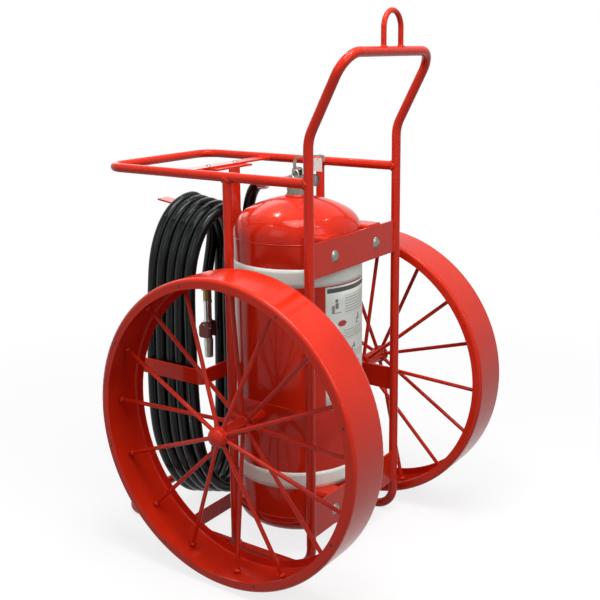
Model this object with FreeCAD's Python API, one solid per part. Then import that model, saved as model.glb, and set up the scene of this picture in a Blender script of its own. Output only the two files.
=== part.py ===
import FreeCAD, Part
import math
import os

# Wheeled fire extinguisher: a pressure cylinder on a bent-tube cart with two
# large spoked wheels, an operating valve, and a hose coil with a shut-off nozzle.
# Origin at the middle of the footprint on the floor. +Z up, -Y the operator's
# side with the handle, +Y the hose side. Lengths are in millimetres.

Vector = FreeCAD.Vector

# ---- wheels ----
wheel_radius = 457.2
wheel_width = 152.4
wheel_offset = 381.5
wheel_lift = 13.4
rim_wall = 3.2
rim_lip = 30.0
rim_shoulder = 10.5
spoke_radius = 6.35
spokes_per_end = 8
right_wheel_turn = 5.0
hub_offset = 390.0
hub_length = 130.0
hub_radius = 22.5
hub_flange_radius = 28.0
hub_flange_width = 6.0
hub_cap_radius = 25.0
hub_cap_dome = 22.0
hub_cap_wall = 1.5
hub_counterbore = 6.0
bush_wall = 3.3
bush_length = 35.0

# ---- axle ----
spindle_radius = 12.7
spindle_shoulder_radius = 17.0
spindle_weld_stub = 5.0
axle_plate_height = 75.0
axle_plate_wall = 6.0
washer_wall = 2.5
cotter_radius = 2.0

# ---- tube frame ----
tube_radius = 14.3
tube_wall = 2.6
frame_half = 244.0
rear_back = 174.0
front_ahead = 113.0
toe_ahead = 602.6
handle_back = 295.0
handle_z = 1531.0
kink_z = 1299.0
rail_z = 1175.6
handle_bend = 70.0
kink_bend = 110.0
heel_bend = 70.0
toe_bend = 90.0
rail_bend = 60.0
eye_rod_radius = 8.0
eye_half = 48.0
eye_top = 1651.0

# ---- cylinder ----
tank_ahead = 35.4
tank_radius = 200.0
tank_wall = 3.5
tank_shoulder_z = 985.0
tank_base_z = 108.0
crown_radius = 318.0
top_knuckle = 80.0
base_crown = 400.0
base_knuckle = 40.0
neck_radius = 38.0
neck_top = 1102.0
neck_bore_radius = 17.0
agent_top = 700.0
dip_radius = 13.0
dip_wall = 2.0
dip_lift = 12.0

# ---- cylinder mounting ----
cross_plate_wall = 6.0
upper_plate_low = 902.0
upper_plate_high = 1004.0
lower_plate_low = 114.0
lower_plate_high = 220.0
mount_bolt_half = 117.0
upper_bolt_z = 952.0
lower_bolt_z = 162.0
mount_bolt_radius = 7.9
mount_head_radius = 17.5
mount_head_height = 8.5
mount_nut_flats = 24.0
mount_nut_height = 13.0
lug_width = 76.0
lug_wall = 5.0
lug_rise = 58.0
lug_drop = 40.0

# ---- valve ----
valve_hex_flats = 44.0
valve_hex_height = 13.0
collar_radius = 32.0
collar_height = 18.0
valve_barrel_radius = 20.0
valve_top = neck_top + 59.5
valve_tail_low = neck_top - 17.0
port_z = neck_top + 47.0
seat_z = neck_top + 28.0
seat_wall = 5.0
seat_bore = 8.0
inlet_bore = 12.0
spring_ledge_bore = 6.5
spring_ledge_height = 9.0
chamber_bore = 9.5
outlet_bore = 6.5
stem_radius = 4.0
poppet_radius = 10.0
poppet_height = 6.0
stem_travel = 5.0
spring_radius = 8.0
spring_wire = 1.1
spring_turns = 4
pivot_z = neck_top + 72.0
pivot_pin_radius = 3.4
cam_radius = 9.0
lever_swing = 75.0
lever_width = 12.5
lever_wall = 3.6
ear_wall = 5.0
ear_half = 13.0
pull_pin_radius = 2.4
pull_ring_radius = 12.0
pull_ring_wire = 1.3
tag_back = 46.0
tag_width = 30.0
tag_height = 41.0
tag_wall = 0.8
tag_gap = 0.75
tag_hole_radius = 2.0
tag_hole_edge = 1.5
loop_rise = 46.4
loop_radius = 9.5
loop_wire = 0.7

# ---- gauge ----
gauge_back = 31.0
gauge_radius = 18.5
gauge_depth = 14.0
gauge_wall = 1.5
gauge_stem_radius = 6.0
needle_length = 12.0

# ---- outlet and hose ----
outlet_turn = 14.0
outlet_drop = 10.0
outlet_boss_radius = 15.0
outlet_boss_reach = 32.0
outlet_pipe_radius = 12.0
outlet_pipe_length = 128.0
coupling_length = 32.0
hose_radius = 19.0
socket_wall = 2.0
socket_length = 28.0

# ---- hose carrier ----
crossbar_ahead = 332.0
crossbar_width = 50.0
crossbar_bolt_half = 67.5
crossbar_bolt_radius = 4.6
crossbar_head_radius = 9.0
carrier_wall = 6.0
carrier_width = 50.0
strap_ahead = 278.0
strap_foot_z = 14.0
strap_flange_half = 90.0
strap_flange_reach = 72.0
hook_top = 1038.0
hook_reach = 598.0
hook_tip_length = 52.0
hook_tip_tilt = 8.0
cradle_half = 198.0
cradle_low = 492.0
cradle_reach = 545.0
cradle_bend = 18.0
bottom_bar_low = 12.0

# ---- hose coil ----
coil_back = 332.0
coil_front = 486.0
coil_half = 170.0
coil_crown_height = 300.0
coil_base_z = 42.0
coil_base_height = 308.0

# ---- nozzle ----
nozzle_side = 85.0
nozzle_ahead = 484.0
nozzle_top = 726.0
shank_radius = 15.0
shank_length = 44.0
nozzle_body_length = 141.0
nozzle_body_radius = 14.0
ball_seat_radius = 17.0
ball_radius = 12.6
ball_bore = 7.0
ball_drop = 130.0
trunnion_radius = 4.0
bail_half = 22.0
bail_wall = 3.0
bail_length = 57.0
bail_depth = 24.0
tip_length = 66.0
tip_radius = 17.0
tip_mouth_radius = 15.0
tip_bore = 8.0

# ---- clearances ----
running_gap = 0.05
fit_gap = 0.2
rest_gap = 0.3

# ---- places worked out from the sizes above ----
axle_z = wheel_lift + wheel_radius
axle_y = -(toe_ahead + tube_radius - wheel_radius) / 2
rear_y = axle_y - rear_back
front_y = axle_y + front_ahead
toe_y = axle_y + toe_ahead
handle_y = axle_y - handle_back
tank_y = axle_y + tank_ahead
cope_start = 0.4 * tube_radius
hub_inner = hub_offset - hub_length / 2
hub_outer = hub_offset + hub_length / 2
bush_radius = spindle_radius + running_gap + bush_wall
plate_outer = frame_half + axle_plate_wall / 2
cam_throw = stem_travel / (2 * math.sin(math.radians(lever_swing / 2)))
stem_top = pivot_z - cam_radius + stem_travel / 2 - rest_gap
spring_low = valve_tail_low + spring_ledge_height
strap_y = axle_y + strap_ahead
crossbar_top = rail_z + 1.4
crossbar_low = crossbar_top - carrier_wall
hose_y = axle_y + nozzle_ahead

os.makedirs("parts", exist_ok=True)


def save(name, *solids):
    shape = solids[0] if len(solids) == 1 else Part.makeCompound(list(solids))
    shape.exportStep("parts/" + name + ".step")


def mirrored(shape):
    return shape.mirror(Vector(0, 0, 0), Vector(1, 0, 0))


def moved(shape, x=0.0, y=0.0, z=0.0):
    copy = shape.copy()
    copy.translate(Vector(x, y, z))
    return copy


def turned(shape, angle, centre=(0, 0, 0), axis=(0, 0, 1)):
    copy = shape.copy()
    copy.rotate(Vector(*centre), Vector(*axis), angle)
    return copy


def block(x_range, y_range, z_range):
    size = [high - low for low, high in (x_range, y_range, z_range)]
    return Part.makeBox(*size, Vector(x_range[0], y_range[0], z_range[0]))


def rod(radius, start, end):
    run = Vector(*end) - Vector(*start)
    return Part.makeCylinder(radius, run.Length, Vector(*start), run)


def sleeve(outer, inner, start, end):
    return rod(outer, start, end).cut(rod(inner, start, end))


def rounded_wire(points, radii, closed=False):
    # straight runs joined by tangent arcs, one radius per corner
    points = [Vector(*point) for point in points]
    count = len(points)
    corners = range(count) if closed else range(1, count - 1)
    joints = {}
    for index in corners:
        radius = radii[index if closed else index - 1]
        corner = points[index]
        back = (points[index - 1] - corner).normalize()
        onward = (points[(index + 1) % count] - corner).normalize()
        if radius <= 0:
            joints[index] = (corner, None, corner)
            continue
        half_turn = (math.pi - back.getAngle(onward)) / 2
        setback = radius * math.tan(half_turn)
        middle = (back + onward).normalize() * (radius / math.cos(half_turn) - radius)
        joints[index] = (corner + back * setback, corner + middle, corner + onward * setback)
    edges = []
    if closed:
        order = list(range(count)) + [0]
        last = None
    else:
        order = list(range(1, count - 1))
        last = points[0]
    for step, index in enumerate(order):
        entry, middle, leave = joints[index]
        if last is not None and (entry - last).Length > 1e-6:
            edges.append(Part.LineSegment(last, entry).toShape())
        finished = closed and step == count
        if middle is not None and not finished:
            edges.append(Part.Arc(entry, middle, leave).toShape())
        last = leave
    if not closed:
        edges.append(Part.LineSegment(last, points[-1]).toShape())
    return Part.Wire(edges)


def outline(points):
    # closed outline in the XZ plane from (x, z) or (x, z, corner radius)
    places = [(point[0], 0, point[1]) for point in points]
    radii = [point[2] if len(point) > 2 else 0 for point in points]
    return Part.Face(rounded_wire(places, radii, closed=True))


def lathe(points):
    # outline of (radius, height) points turned about Z
    return outline(points).revolve(Vector(0, 0, 0), Vector(0, 0, 1), 360)


def along_x(shape, x, y, z, side=1):
    # lays a lathed piece on the X axis, its height pointing away from the middle
    return moved(turned(shape, 90 * side, axis=(0, 1, 0)), x, y, z)


def along_y(shape, x, y, z, side=1):
    return moved(turned(shape, -90 * side, axis=(1, 0, 0)), x, y, z)


def pipe(path, radius, bore=0.0):
    start = path.OrderedVertexes[0].Point
    heading = path.OrderedEdges[0].tangentAt(path.OrderedEdges[0].FirstParameter)
    rings = [Part.Wire(Part.Circle(start, heading, size).toShape()) for size in (radius, bore) if size > 0]
    tube = path.makePipeShell([rings[0]], True, False)
    if bore > 0:
        tube = tube.cut(path.makePipeShell([rings[1]], True, False))
    return tube


def frame_path(side):
    points = [
        (0, handle_y, handle_z),
        (side * frame_half, handle_y, handle_z),
        (side * frame_half, rear_y, kink_z),
        (side * frame_half, rear_y, tube_radius),
        (side * frame_half, toe_y, tube_radius),
        (0, toe_y, tube_radius),
    ]
    return rounded_wire(points, [handle_bend, kink_bend, heel_bend, toe_bend])


def rail_path():
    points = [
        (-frame_half, rear_y + cope_start, rail_z),
        (-frame_half, toe_y, rail_z),
        (frame_half, toe_y, rail_z),
        (frame_half, rear_y + cope_start, rail_z),
    ]
    return rounded_wire(points, [rail_bend, rail_bend])


def post_rod(side, y, low=0.0, high=kink_z):
    return rod(tube_radius, (side * frame_half, y, low), (side * frame_half, y, high))


def build_frame():
    for name, side in (("left", -1), ("right", 1)):
        save("frame_tube_" + name, pipe(frame_path(side), tube_radius, tube_radius - tube_wall))
    rail = pipe(rail_path(), tube_radius, tube_radius - tube_wall)
    for side in (-1, 1):
        rail = rail.cut(post_rod(side, rear_y))
    save("bumper_rail", rail)
    post = rod(tube_radius, (frame_half, front_y, tube_radius + cope_start),
               (frame_half, front_y, rail_z - cope_start))
    post = post.cut(rod(tube_radius - tube_wall, (frame_half, front_y, 0), (frame_half, front_y, rail_z)))
    for height in (tube_radius, rail_z):
        crossing = rod(tube_radius, (frame_half, rear_y, height), (frame_half, toe_y, height))
        post = post.cut(crossing)
    save("front_posts", post, mirrored(post))
    build_eye()
    build_axle_plates()


def build_eye():
    # lifting eye: an arch of rod standing on the handle bar
    reach = eye_top - eye_rod_radius
    low = handle_z + cope_start
    legs = [(-eye_half, handle_y, low), (-eye_half, handle_y, reach - eye_half)]
    start, springing = [Vector(*point) for point in legs]
    crown = Vector(0, handle_y, reach)
    far_springing = Vector(eye_half, handle_y, reach - eye_half)
    far_foot = Vector(eye_half, handle_y, low)
    path = Part.Wire([
        Part.LineSegment(start, springing).toShape(),
        Part.Arc(springing, crown, far_springing).toShape(),
        Part.LineSegment(far_springing, far_foot).toShape(),
    ])
    bar = rod(tube_radius, (-frame_half, handle_y, handle_z), (frame_half, handle_y, handle_z))
    save("lifting_eye", pipe(path, eye_rod_radius).cut(bar))


def build_axle_plates():
    low = axle_z - axle_plate_height / 2
    plate = block((frame_half - axle_plate_wall / 2, plate_outer),
                  (rear_y + tube_radius - axle_plate_wall / 2, front_y - tube_radius + axle_plate_wall / 2),
                  (low, low + axle_plate_height))
    plate = plate.cut(post_rod(1, rear_y)).cut(post_rod(1, front_y))
    bore = rod(spindle_radius + fit_gap, (frame_half - axle_plate_height, axle_y, axle_z),
               (frame_half + axle_plate_height, axle_y, axle_z))
    plate = plate.cut(bore)
    save("axle_plates", plate, mirrored(plate))


def build_spindles():
    # turned stub axle: weld stub through the plate, shoulder, journal, cotter hole
    plate_inner = plate_outer - axle_plate_wall
    washer_seat = hub_outer - hub_counterbore + rest_gap
    cotter_x = washer_seat + washer_wall + cotter_radius + fit_gap
    tip = cotter_x + 2.5 * cotter_radius
    spindle = lathe([
        (0, plate_inner - spindle_weld_stub),
        (spindle_radius - 1.5, plate_inner - spindle_weld_stub),
        (spindle_radius, plate_inner - spindle_weld_stub + 1.5),
        (spindle_radius, plate_outer),
        (spindle_shoulder_radius, plate_outer),
        (spindle_shoulder_radius, hub_inner - rest_gap),
        (spindle_radius, hub_inner - rest_gap),
        (spindle_radius, tip - 1.5),
        (spindle_radius - 1.5, tip),
        (0, tip),
    ])
    cotter_reach = hub_cap_radius - 3 * hub_cap_wall - 2 * cotter_radius
    hole = rod(cotter_radius + fit_gap, (-2 * cotter_reach, 0, cotter_x), (2 * cotter_reach, 0, cotter_x))
    spindle = spindle.cut(hole)
    washer = sleeve(hub_cap_radius - 3 * hub_cap_wall - 2.0, spindle_radius + fit_gap,
                    (0, 0, washer_seat), (0, 0, washer_seat + washer_wall))
    cotter = rod(cotter_radius, (-cotter_reach, 0, cotter_x), (cotter_reach, 0, cotter_x))
    for name, piece in (("washer", washer), ("cotter", cotter)):
        right = along_x(piece, 0, axle_y, axle_z)
        save("axle_" + name + "s", right, mirrored(right))
    right = along_x(spindle, 0, axle_y, axle_z)
    save("spindle_right", right)
    save("spindle_left", mirrored(right))


def build_wheel(name, side, turn):
    half = wheel_width / 2
    root = wheel_radius - rim_lip
    bed = wheel_radius - rim_wall
    inner_shoulder = rim_shoulder - rim_wall
    rim = lathe([
        (root, -half),
        (wheel_radius, -half, rim_shoulder),
        (wheel_radius, half, rim_shoulder),
        (root, half),
        (root, half - rim_wall),
        (bed, half - rim_wall, inner_shoulder),
        (bed, rim_wall - half, inner_shoulder),
        (root, rim_wall - half),
    ])
    save("wheel_rim_" + name, along_x(rim, side * wheel_offset, axle_y, axle_z, side))

    # spokes run from both ends of the hub to the middle of the rim, every other
    # one from the inner end
    barrel = rod(hub_radius, (0, 0, 0), (0, 0, hub_outer + hub_length))
    ring_space = rod(bed, (0, 0, 0), (0, 0, hub_outer + hub_length))
    inset = hub_flange_width + spoke_radius + 1.0
    pitch = 360.0 / spokes_per_end
    spokes = []
    for place, phase in ((hub_inner + inset, 0.0), (hub_outer - inset, pitch / 2)):
        start = Vector(hub_radius / 2, 0, place)
        lean = (wheel_offset - place) / (bed - hub_radius)
        past = wheel_radius + rim_lip
        start.z -= lean * hub_radius / 2
        end = Vector(past, 0, place + lean * (past - hub_radius))
        bar = Part.makeCylinder(spoke_radius, (end - start).Length, start, end - start)
        bar = bar.cut(barrel).common(ring_space)
        for index in range(spokes_per_end):
            spokes.append(turned(bar, phase + turn + index * pitch))
    # the hub's X axis takes the lathe's height, so the spokes' angle is from +Y
    laid = []
    for bar in spokes:
        upright = turned(bar, 90)
        laid.append(along_x(upright, 0, axle_y, axle_z, side))
    save("wheel_spokes_" + name, *laid)

    counter_radius = hub_cap_radius - 3 * hub_cap_wall
    hub = lathe([
        (bush_radius, hub_inner),
        (hub_flange_radius, hub_inner, 1.5),
        (hub_flange_radius, hub_inner + hub_flange_width),
        (hub_radius, hub_inner + hub_flange_width),
        (hub_radius, hub_outer - hub_flange_width),
        (hub_flange_radius, hub_outer - hub_flange_width),
        (hub_flange_radius, hub_outer, 1.5),
        (counter_radius, hub_outer),
        (counter_radius, hub_outer - hub_counterbore),
        (bush_radius, hub_outer - hub_counterbore),
    ])
    save("wheel_hub_" + name, along_x(hub, 0, axle_y, axle_z, side))
    bushes = [
        sleeve(bush_radius, spindle_radius + running_gap, (0, 0, low), (0, 0, low + bush_length))
        for low in (hub_inner, hub_outer - hub_counterbore - bush_length)
    ]
    save("wheel_bushes_" + name, *[along_x(bush, 0, axle_y, axle_z, side) for bush in bushes])
    build_hub_cap(name, side, counter_radius)


def build_hub_cap(name, side, counter_radius):
    # pressed cap: a skirt in the counterbore, a flange on the hub face, a dome
    skirt_depth = hub_counterbore - 2 * rest_gap
    pocket = counter_radius - hub_cap_wall
    cap = dome_head(hub_cap_radius, hub_cap_dome)
    cap = cap.fuse(rod(counter_radius, (0, 0, -skirt_depth), (0, 0, hub_cap_wall))).removeSplitter()
    cap = cap.cut(rod(pocket, (0, 0, -hub_counterbore), (0, 0, hub_cap_dome / 2)))
    save("hub_cap_" + name, along_x(cap, side * hub_outer, axle_y, axle_z, side))


def head_edges(radius, crown, knuckle, height, way):
    # dished head from the cylinder wall to the axis: knuckle arc, then crown arc
    drop = math.sqrt((crown - knuckle) ** 2 - (radius - knuckle) ** 2)
    lean = math.atan2(radius - knuckle, drop)

    def on_knuckle(angle):
        return Vector(radius - knuckle + knuckle * math.sin(angle), 0,
                      height + way * knuckle * math.cos(angle))

    def on_crown(angle):
        return Vector(crown * math.sin(angle), 0, height + way * (crown * math.cos(angle) - drop))

    knuckle_arc = Part.Arc(on_knuckle(math.pi / 2), on_knuckle((math.pi / 2 + lean) / 2), on_knuckle(lean))
    crown_arc = Part.Arc(on_crown(lean), on_crown(lean / 2), on_crown(0))
    return [knuckle_arc.toShape(), crown_arc.toShape()], on_crown(0)


def tank_space(inset):
    # the cylinder's outer form, or the space inside it when inset by a wall
    radius = tank_radius - inset
    top_edges, top = head_edges(radius, crown_radius - inset, top_knuckle - inset, tank_shoulder_z, 1)
    base_edges, base = head_edges(radius, base_crown - inset, base_knuckle - inset, tank_base_z, -1)
    side = Part.LineSegment(Vector(radius, 0, tank_base_z), Vector(radius, 0, tank_shoulder_z)).toShape()
    axis = Part.LineSegment(top, base).toShape()
    wire = Part.Wire(Part.__sortEdges__(top_edges + base_edges + [side, axis]))
    solid = Part.Face(wire).revolve(Vector(0, 0, 0), Vector(0, 0, 1), 360)
    return moved(solid, y=tank_y), base.z


def build_tank():
    outer, base_z = tank_space(0)
    inner, inner_base = tank_space(tank_wall)
    neck_low = tank_shoulder_z + top_knuckle
    neck = moved(lathe([
        (0, neck_low),
        (neck_radius, neck_low),
        (neck_radius, neck_top - 3.0),
        (neck_radius - 3.0, neck_top),
        (0, neck_top),
    ]), y=tank_y)
    shell = outer.fuse(neck).cut(inner)
    shell = shell.cut(rod(neck_bore_radius, (0, tank_y, neck_low), (0, tank_y, neck_top + 1)))
    save("cylinder_shell", shell)

    dip_low = inner_base + dip_lift
    dip_top = valve_tail_low
    dip = sleeve(dip_radius, dip_radius - dip_wall, (0, tank_y, dip_low), (0, tank_y, dip_top))
    save("dip_tube", dip)
    charge, charge_base = tank_space(tank_wall + rest_gap)
    level = block((-tank_radius, tank_radius), (tank_y - tank_radius, tank_y + tank_radius), (0, agent_top))
    charge = charge.common(level)
    charge = charge.cut(rod(dip_radius + rest_gap, (0, tank_y, dip_low - rest_gap), (0, tank_y, agent_top + 1)))
    save("agent_charge", charge)
    return outer


def build_mounting(tank_form):
    # two cross plates between the rear posts, a pair of pressed lugs on the
    # cylinder behind each, and a carriage bolt and nut through every lug
    back = rear_y - cross_plate_wall / 2
    face = rear_y + cross_plate_wall / 2
    reach = frame_half - tube_radius + cross_plate_wall / 2
    bolts = []
    nuts = []
    rows = (("upper", upper_plate_low, upper_plate_high, upper_bolt_z),
            ("lower", lower_plate_low, lower_plate_high, lower_bolt_z))
    for name, low, high, bolt_z in rows:
        plate = block((-reach, reach), (back, face), (low, high))
        lugs = []
        for side in (-1, 1):
            x = side * mount_bolt_half
            plate = plate.cut(post_rod(side, rear_y))
            plate = plate.cut(rod(mount_bolt_radius + 2 * fit_gap, (x, back - 1, bolt_z), (x, face + 1, bolt_z)))
            lugs.append(build_lug(x, face, bolt_z, tank_form))
            bolt, nut = build_mount_bolt(x, back, face, bolt_z)
            bolts.append(bolt)
            nuts.append(nut)
        save(name + "_cross_plate", plate)
        save(name + "_lugs", *lugs)
    save("mounting_bolts", *bolts)
    save("mounting_nuts", *nuts)


def build_lug(x, face, bolt_z, tank_form):
    # inverted channel with a closed front end, scribed to the cylinder
    half = lug_width / 2
    high = bolt_z + lug_rise
    low = bolt_z - lug_drop
    section = outline([
        (x - half, low), (x - half, high, 2 * lug_wall), (x + half, high, 2 * lug_wall), (x + half, low),
        (x + half - lug_wall, low), (x + half - lug_wall, high - lug_wall, lug_wall),
        (x - half + lug_wall, high - lug_wall, lug_wall), (x - half + lug_wall, low),
    ])
    length = tank_y - face
    channel = moved(section.extrude(Vector(0, length, 0)), y=face)
    end = outline([
        (x - half, low), (x - half, high, 2 * lug_wall), (x + half, high, 2 * lug_wall), (x + half, low),
    ])
    end_wall = moved(end.extrude(Vector(0, lug_wall, 0)), y=face)
    lug = channel.fuse(end_wall).removeSplitter().cut(tank_form)
    hole = rod(mount_bolt_radius + 2 * fit_gap, (x, face - 1, bolt_z), (x, face + lug_wall + 1, bolt_z))
    solids = sorted(lug.cut(hole).Solids, key=lambda solid: solid.CenterOfMass.y)
    return solids[0]


def hexagon(flats, height):
    corner = flats / math.sqrt(3)
    points = [Vector(corner * math.cos(math.radians(60 * step)), corner * math.sin(math.radians(60 * step)), 0)
              for step in range(6)]
    return Part.Face(Part.makePolygon(points + points[:1])).extrude(Vector(0, 0, height))


def dome_head(radius, height):
    rise = Part.Arc(Vector(0, 0, height), Vector(radius * 0.62, 0, height * 0.78), Vector(radius, 0, 0))
    base = Part.LineSegment(Vector(radius, 0, 0), Vector(0, 0, 0))
    axis = Part.LineSegment(Vector(0, 0, 0), Vector(0, 0, height))
    face = Part.Face(Part.Wire([edge.toShape() for edge in (rise, base, axis)]))
    return face.revolve(Vector(0, 0, 0), Vector(0, 0, 1), 360)


def build_mount_bolt(x, back, face, z):
    nut_face = face + lug_wall
    shank_end = nut_face + mount_nut_height + 3.0
    head = along_y(dome_head(mount_head_radius, mount_head_height), x, back, z, -1)
    bolt = head.fuse(rod(mount_bolt_radius, (x, back, z), (x, shank_end, z))).removeSplitter()
    nut = hexagon(mount_nut_flats, mount_nut_height)
    nut = nut.cut(rod(mount_bolt_radius + fit_gap, (0, 0, -1), (0, 0, mount_nut_height + 1)))
    return bolt, along_y(nut, x, nut_face, z)


def valve_ears():
    ears = []
    for side in (-1, 1):
        inner = lever_width / 2 + rest_gap
        low, high = sorted((side * inner, side * (inner + ear_wall)))
        top = pivot_z + ear_half - 3.0
        # ear outline lies in YZ, so it is drawn in XZ and turned
        shape = outline([(-ear_half, valve_top - 8.0), (-ear_half, top, 9.0),
                         (ear_half - 1.0, top, 11.0), (ear_half - 1.0, valve_top - 8.0)])
        ear = turned(shape.extrude(Vector(0, ear_wall, 0)), 90)
        ears.append(moved(ear, x=high, y=tank_y))
    return ears


def build_valve():
    hex_low = neck_top + collar_height
    hex_high = hex_low + valve_hex_height
    collar = sleeve(collar_radius, neck_bore_radius, (0, tank_y, neck_top), (0, tank_y, hex_low))
    groove_low = neck_top + collar_height / 3
    collar = collar.cut(sleeve(collar_radius + 1, collar_radius - 1.2, (0, tank_y, groove_low),
                               (0, tank_y, groove_low + collar_height / 3)))
    save("neck_collar", collar)

    body = rod(neck_bore_radius - rest_gap, (0, tank_y, valve_tail_low), (0, tank_y, hex_low))
    body = body.fuse(moved(hexagon(valve_hex_flats, valve_hex_height), y=tank_y, z=hex_low))
    body = body.fuse(rod(valve_barrel_radius, (0, tank_y, hex_high), (0, tank_y, valve_top)))
    boss_end = tank_y + outlet_boss_reach
    boss_start = tank_y + cam_radius + cam_throw + 1.0
    outlet_boss = rod(outlet_boss_radius, (0, boss_start, port_z), (0, boss_end, port_z))
    body = body.fuse(outlet_placed(outlet_boss))
    gauge_boss_end = tank_y - valve_barrel_radius - 6.0
    body = body.fuse(rod(gauge_stem_radius + 3.5, (0, tank_y, port_z), (0, gauge_boss_end, port_z)))
    for ear in valve_ears():
        body = body.fuse(ear)
    body = body.removeSplitter()
    body = body.cut(rod(spring_ledge_bore, (0, tank_y, valve_tail_low), (0, tank_y, seat_z)))
    body = body.cut(rod(inlet_bore, (0, tank_y, spring_low), (0, tank_y, seat_z)))
    body = body.cut(rod(seat_bore, (0, tank_y, seat_z), (0, tank_y, seat_z + seat_wall)))
    body = body.cut(rod(chamber_bore, (0, tank_y, seat_z + seat_wall), (0, tank_y, port_z + outlet_bore)))
    body = body.cut(rod(stem_radius + running_gap, (0, tank_y, port_z), (0, tank_y, valve_top + 1)))
    outlet_way = rod(outlet_bore, (0, tank_y, port_z), (0, boss_end + 1, port_z))
    socket = rod(outlet_pipe_radius + fit_gap, (0, boss_end - socket_depth(), port_z), (0, boss_end + 1, port_z))
    for way in (outlet_way, socket):
        body = body.cut(outlet_placed(way))
    gauge_socket = rod(gauge_stem_radius + fit_gap, (0, gauge_boss_end - 1, port_z),
                       (0, gauge_boss_end + gauge_socket_depth(), port_z))
    body = body.cut(gauge_socket)
    reach = 2 * lever_width
    body = body.cut(rod(pivot_pin_radius + running_gap, (-reach, tank_y, pivot_z), (reach, tank_y, pivot_z)))
    pin_y, pin_z = pull_pin_place()
    body = body.cut(rod(pull_pin_radius + running_gap, (-reach, pin_y, pin_z), (reach, pin_y, pin_z)))
    save("valve_body", body)
    build_stem()
    build_lever()
    build_pull_pin()
    build_gauge(gauge_boss_end + gauge_socket_depth())


def socket_depth():
    return outlet_boss_reach - valve_barrel_radius - 1.0


def gauge_socket_depth():
    return gauge_stem_radius + 2.0


def pull_pin_place():
    return tank_y - ear_half + 2 * pull_pin_radius - 0.8, pivot_z + 4.0


def build_stem():
    # poppet stem: the spring lifts the poppet to its seat, the cam pushes it down
    poppet_high = seat_z - rest_gap / 2
    poppet_low = poppet_high - poppet_height
    stem = moved(lathe([
        (0, poppet_low), (poppet_radius, poppet_low), (poppet_radius, poppet_high - 1.5),
        (poppet_radius - 1.5, poppet_high), (stem_radius, poppet_high),
        (stem_radius, stem_top - 0.6), (stem_radius - 0.6, stem_top), (0, stem_top),
    ]), y=tank_y)
    save("valve_stem", stem)
    height = poppet_low - spring_low - 2 * spring_wire
    helix = Part.makeHelix(height / spring_turns, height, spring_radius)
    start = helix.Edges[0].valueAt(helix.Edges[0].FirstParameter)
    heading = helix.Edges[0].tangentAt(helix.Edges[0].FirstParameter)
    section = flat_section(start, Vector(1, 0, 0), heading.cross(Vector(1, 0, 0)), spring_wire, spring_wire)
    spring = Part.Wire(helix.Edges).makePipeShell([section], True, True)
    save("valve_spring", moved(spring, y=tank_y, z=spring_low + spring_wire))


def hoop(radius, wire):
    # ring of wire about Z with an eight-sided section
    points = [(radius + wire * math.cos(math.radians(22.5 + 45 * step)),
               wire * math.sin(math.radians(22.5 + 45 * step))) for step in range(8)]
    return lathe(points)


def flat_section(centre, across, upward, half_width, half_wall):
    # rectangular outline for a sweep, centred on the start of its path
    corners = [centre + across * (x * half_width) + upward.normalize() * (z * half_wall)
               for x, z in ((-1, -1), (1, -1), (1, 1), (-1, 1))]
    return Part.makePolygon(corners + corners[:1])


def build_lever():
    # strap bent up from the cam, over towards the operator and curled at its end
    half = lever_width / 2
    lean = math.radians(lever_swing / 2)
    cam_y = tank_y + cam_throw * math.cos(lean)
    cam_z = pivot_z + cam_throw * math.sin(lean)
    cam = rod(cam_radius, (-half, cam_y, cam_z), (half, cam_y, cam_z))
    centre = [(9.0, 8.0), (9.5, 42.0), (-98.0, 52.0), (-96.0, 34.0), (-74.0, 28.0)]
    bends = [24.0, 7.0, 5.0]
    wall = lever_wall / 2
    path = rounded_wire([(0, tank_y + y, pivot_z + z) for y, z in centre], bends)
    start = path.OrderedVertexes[0].Point
    heading = path.OrderedEdges[0].tangentAt(path.OrderedEdges[0].FirstParameter)
    section = flat_section(start, Vector(1, 0, 0), Vector(0, -heading.z, heading.y), half, wall)
    strap = path.makePipeShell([section], True, True)
    lever = cam.fuse(strap).removeSplitter()
    lever = lever.cut(rod(pivot_pin_radius + running_gap, (-half - 1, tank_y, pivot_z), (half + 1, tank_y, pivot_z)))
    save("valve_lever", lever)

    ear_outer = half + rest_gap + ear_wall
    pin = rod(pivot_pin_radius, (-ear_outer - 1, tank_y, pivot_z), (ear_outer + 2.0, tank_y, pivot_z))
    head = along_x(hexagon(12.0, 5.0), -ear_outer, tank_y, pivot_z, -1)
    nut = along_x(hexagon(12.0, 5.0), ear_outer, tank_y, pivot_z, 1)
    save("lever_pivot_pin", pin.fuse(head).fuse(nut).removeSplitter())
    build_tag()


def build_tag():
    # inspection tag hung beside the lever's strap on a ring round it
    tag_y = axle_y - tag_back
    tag_x = -lever_width / 2 - tag_gap - tag_wall / 2
    loop_z = pivot_z + loop_rise
    hole_z = loop_z - math.sqrt(loop_radius ** 2 - tag_x ** 2)
    top = hole_z + tag_hole_radius + tag_hole_edge
    plate = outline([(-tag_width / 2, top - tag_height), (-tag_width / 2, top, 5.0),
                     (tag_width / 2, top, 5.0), (tag_width / 2, top - tag_height)])
    tag = moved(turned(plate.extrude(Vector(0, tag_wall, 0)), 90), tag_x + tag_wall / 2, tag_y)
    hole = rod(tag_hole_radius, (tag_x - 5, tag_y, hole_z), (tag_x + 5, tag_y, hole_z))
    save("inspection_tag", tag.cut(hole))
    save("tag_loop", along_y(hoop(loop_radius, loop_wire), 0, tag_y, loop_z))


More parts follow.
